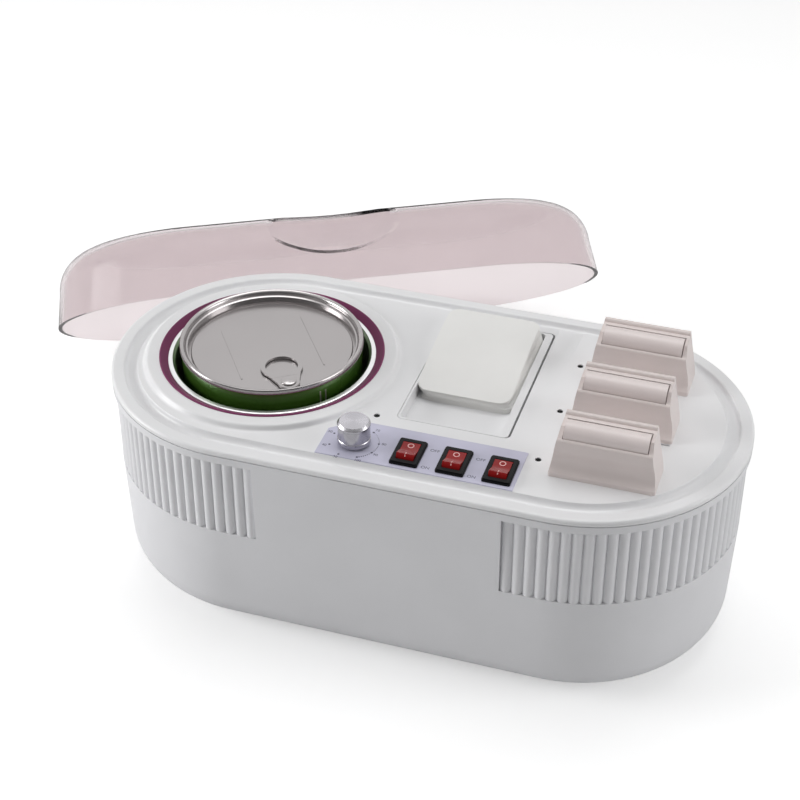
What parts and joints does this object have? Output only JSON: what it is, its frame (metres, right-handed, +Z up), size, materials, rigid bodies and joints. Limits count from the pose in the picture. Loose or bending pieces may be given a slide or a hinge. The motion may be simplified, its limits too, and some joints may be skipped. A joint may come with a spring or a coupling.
{
  "type": "roll-on wax heater",
  "caption": "Desk-top wax warmer with an oval fluted housing, heated can well, roll-on cartridge bays, strip tray, rocker switches, heat dial and a clear lift-off lid leaning behind it.",
  "frame": {"origin": "centre of the flat underside of the base shell", "axes": "+X along the long side, from the can to the cartridges; +Y towards the rear; +Z up. The switches are on the -Y side."},
  "size_m": [0.4548, 0.3735, 0.1559],
  "materials": {
    "housing_plastic": "satin moulded",
    "deck_plastic": "semi-gloss moulded",
    "rubber_black": "matte",
    "screw_steel": "plated",
    "black_plastic": "semi-gloss moulded",
    "board_green": "satin",
    "grey_plastic": "satin",
    "relay_blue": "satin",
    "well_aluminium": "drawn",
    "mica_heater": "layered",
    "collar_plum": "satin moulded",
    "can_green": "lacquered",
    "can_tin": "rolled",
    "wax_amber": "waxy",
    "panel_lavender": "fine texture",
    "knob_metal": "turned",
    "rocker_red": "translucent",
    "cartridge_beige": "semi-gloss moulded",
    "strip_fabric": "non-woven",
    "lid_clear": "clear"
  },
  "bodies": {
    "housing": {"base_shell": "housing_plastic", "deck": "deck_plastic", "rubber_feet": "rubber_black", "foot_screws": "screw_steel", "case_screws": "screw_steel", "mains_inlet": "black_plastic", "inlet_pins": "screw_steel", "power_board": "board_green", "terminal_block": "grey_plastic", "relays": "relay_blue", "heater_well": "well_aluminium", "heater_band": "mica_heater", "thermal_cutout": "black_plastic", "well_collar": "collar_plum", "control_plate": "panel_lavender", "thermostat": "black_plastic", "thermostat_nut": "screw_steel", "switch_housing_1": "black_plastic", "switch_housing_2": "black_plastic", "switch_housing_3": "black_plastic", "pilot_lenses": "black_plastic", "pilot_boards": "board_green", "bay_1": "well_aluminium", "bay_2": "well_aluminium", "bay_3": "well_aluminium", "bay_heaters": "mica_heater", "strip_tray": "deck_plastic"},
    "can": {"can_body": "can_green", "can_end": "can_tin", "can_wax": "wax_amber", "tab_base": "can_tin"},
    "tab": {"pull_tab": "can_tin"},
    "knob": {"control_knob": "knob_metal", "thermostat_shaft": "screw_steel"},
    "switch_1": {"rocker_1": "rocker_red"},
    "switch_2": {"rocker_2": "rocker_red"},
    "switch_3": {"rocker_3": "rocker_red"},
    "cartridge_1": {"wax_tank_1": "wax_amber", "roller_head_1": "cartridge_beige"},
    "cartridge_2": {"wax_tank_2": "wax_amber", "roller_head_2": "cartridge_beige"},
    "cartridge_3": {"wax_tank_3": "wax_amber", "roller_head_3": "cartridge_beige"},
    "roll_1": {"roller_1": "cartridge_beige"},
    "roll_2": {"roller_2": "cartridge_beige"},
    "roll_3": {"roller_3": "cartridge_beige"},
    "strips": {"wax_strips": "strip_fabric"},
    "cover": {"lid": "lid_clear"}
  },
  "joints": [
    {"name": "can_lift", "type": "slide", "parent": "housing", "child": "can", "axis": [0, 0, 1], "range_m": [0, 0.12]},
    {"name": "ring_pull", "type": "hinge", "parent": "can", "child": "tab", "pos_m": [-0.07107, -0.02388, 0.1304], "axis": [0.8192, 0.5736, 0], "range_deg": [0, 80]},
    {"name": "heat_dial", "type": "hinge", "parent": "housing", "child": "knob", "pos_m": [-0.0199, -0.0606, 0.1241], "axis": [0, 0, -1], "range_deg": [0, 270]},
    {"name": "switch_1_rock", "type": "hinge", "parent": "housing", "child": "switch_1", "pos_m": [0.0099, -0.0617, 0.1236], "axis": [1, 0, 0], "range_deg": [0, 18]},
    {"name": "switch_2_rock", "type": "hinge", "parent": "housing", "child": "switch_2", "pos_m": [0.0343, -0.0617, 0.1236], "axis": [1, 0, 0], "range_deg": [0, 18]},
    {"name": "switch_3_rock", "type": "hinge", "parent": "housing", "child": "switch_3", "pos_m": [0.0587, -0.0617, 0.1236], "axis": [1, 0, 0], "range_deg": [0, 18]},
    {"name": "cartridge_1_lift", "type": "slide", "parent": "housing", "child": "cartridge_1", "axis": [0, 0, 1], "range_m": [0, 0.1]},
    {"name": "cartridge_2_lift", "type": "slide", "parent": "housing", "child": "cartridge_2", "axis": [0, 0, 1], "range_m": [0, 0.1]},
    {"name": "cartridge_3_lift", "type": "slide", "parent": "housing", "child": "cartridge_3", "axis": [0, 0, 1], "range_m": [0, 0.1]},
    {"name": "roller_1_spin", "type": "hinge", "parent": "cartridge_1", "child": "roll_1", "pos_m": [0.1092, -0.04665, 0.146], "axis": [1, 0, 0], "continuous": true},
    {"name": "roller_2_spin", "type": "hinge", "parent": "cartridge_2", "child": "roll_2", "pos_m": [0.1092, -0.00205, 0.146], "axis": [1, 0, 0], "continuous": true},
    {"name": "roller_3_spin", "type": "hinge", "parent": "cartridge_3", "child": "roll_3", "pos_m": [0.1092, 0.04255, 0.146], "axis": [1, 0, 0], "continuous": true},
    {"name": "strips_lift", "type": "slide", "parent": "housing", "child": "strips", "axis": [0, 0, 1], "range_m": [0, 0.05]},
    {"name": "cover_lift", "type": "slide", "parent": "housing", "child": "cover", "axis": [-0.2933, 0.6013, 0.7433], "range_m": [0, 0.12]}
  ]
}
